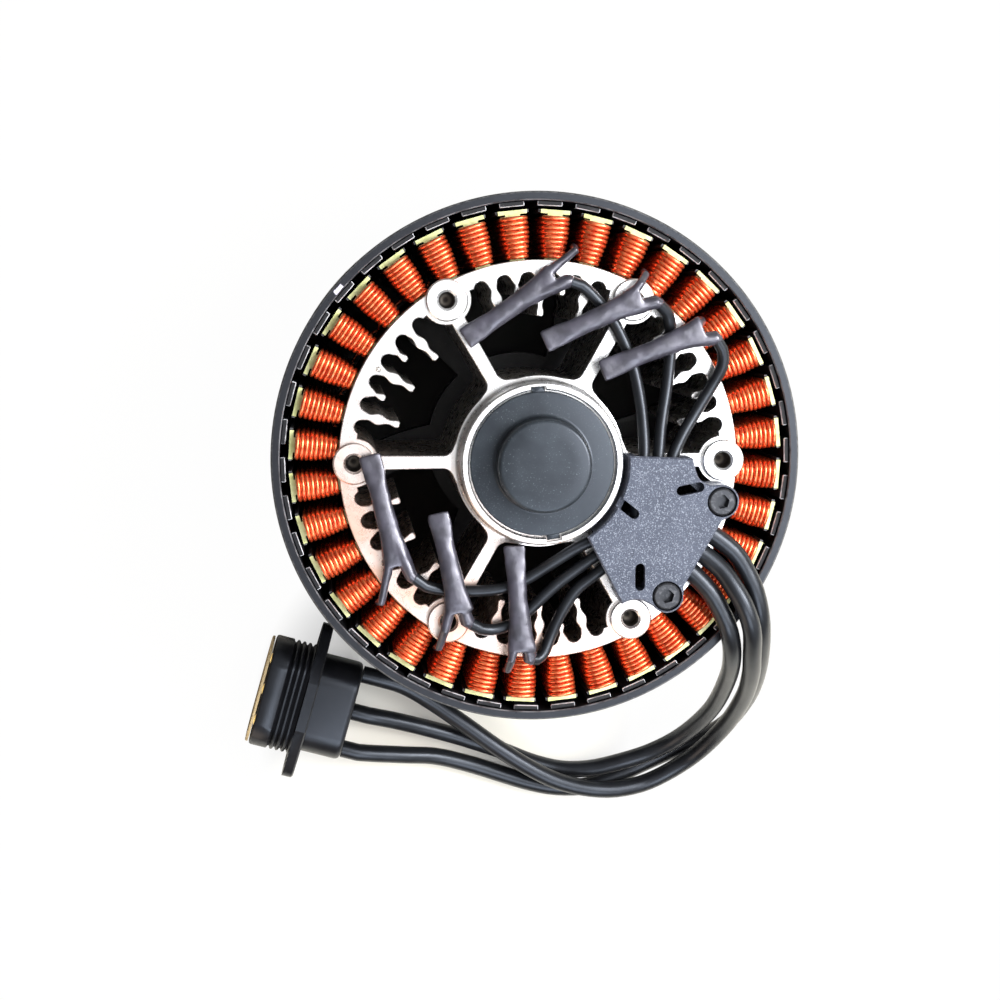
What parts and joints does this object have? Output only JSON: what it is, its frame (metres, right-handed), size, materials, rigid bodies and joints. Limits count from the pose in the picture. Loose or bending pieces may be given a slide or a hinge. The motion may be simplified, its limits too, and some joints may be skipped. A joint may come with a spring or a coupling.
{
  "type": "drone motor",
  "caption": "Flat outrunner drone motor lying on its propeller pad, mounting side up, with wound teeth, finned carrier, cable clamp and three phase cables to a flanged connector.",
  "frame": {"origin": "on the motor axis, at the propeller pad's outer face, which is the lowest face of the motor", "axes": "+Z along the motor axis from the propeller side to the mounting side; +X towards the carrier boss beside the cable clamp; the cables leave towards +X and -Y"},
  "size_m": [0.115, 0.1359, 0.0574],
  "materials": {
    "black_steel": "satin black coating, bare bright inner edge",
    "bare_aluminium": "machined, bare, lightly brushed",
    "black_aluminium": "black anodised, satin",
    "steel": "ground steel",
    "lamination": "dark varnished electrical steel sheets",
    "insulator": "yellow-green moulded insulation",
    "enamelled_copper": "copper wire under clear orange-red enamel",
    "dark_plastic": "dark slate moulding",
    "grey_plastic": "blue-grey moulding with fine pale specks",
    "heat_shrink": "black shrink sleeve with a violet-grey sheen",
    "silicone": "soft matt dark grey wire cover",
    "black_oxide": "black oxide screw",
    "connector_plastic": "black, semi-gloss",
    "tan_rubber": "tan flat seal",
    "gold": "gold-plated contact"
  },
  "bodies": {
    "stator": {"stator_core": "lamination", "front_insulator": "insulator", "rear_insulator": "insulator", "phase_winding_a": "enamelled_copper", "phase_winding_b": "enamelled_copper", "phase_winding_c": "enamelled_copper", "lower_bearing_outer_race": "steel", "upper_bearing_outer_race": "steel", "stator_carrier": "bare_aluminium", "hub_cap": "dark_plastic", "clamp_cover": "grey_plastic", "clamp_screw_1": "black_oxide", "clamp_screw_2": "black_oxide", "splice_1": "heat_shrink", "splice_2": "heat_shrink", "splice_3": "heat_shrink", "splice_4": "heat_shrink", "splice_5": "heat_shrink", "splice_6": "heat_shrink", "lead_1": "silicone", "lead_2": "silicone", "lead_3": "silicone", "lead_4": "silicone", "lead_5": "silicone", "lead_6": "silicone", "crimp_a": "heat_shrink", "crimp_b": "heat_shrink", "crimp_c": "heat_shrink", "phase_cable_a": "silicone", "phase_cable_b": "silicone", "phase_cable_c": "silicone", "connector_shell": "connector_plastic", "connector_face_seal": "tan_rubber", "connector_insert": "connector_plastic", "contact_a": "gold", "contact_b": "gold", "contact_c": "gold"},
    "rotor": {"rotor_ring": "black_steel", "rotor_bell": "black_aluminium", "shaft": "steel", "shaft_clip": "steel", "lower_bearing_inner_race": "steel", "upper_bearing_inner_race": "steel"},
    "lower_ball_set": {"lower_bearing_balls": "steel"},
    "upper_ball_set": {"upper_bearing_balls": "steel"}
  },
  "joints": [
    {"name": "rotor_spin", "type": "hinge", "parent": "stator", "child": "rotor", "pos_m": [0, 0, 0.03], "axis": [0, 0, 1], "continuous": true},
    {"name": "lower_balls_spin", "type": "hinge", "parent": "stator", "child": "lower_ball_set", "pos_m": [0, 0, 0.0135], "axis": [0, 0, 1], "continuous": true},
    {"name": "upper_balls_spin", "type": "hinge", "parent": "stator", "child": "upper_ball_set", "pos_m": [0, 0, 0.045], "axis": [0, 0, 1], "continuous": true}
  ],
  "couplings": [
    {"joint": "lower_balls_spin", "follows": "rotor_spin", "ratio": 0.43},
    {"joint": "upper_balls_spin", "follows": "rotor_spin", "ratio": 0.43}
  ]
}
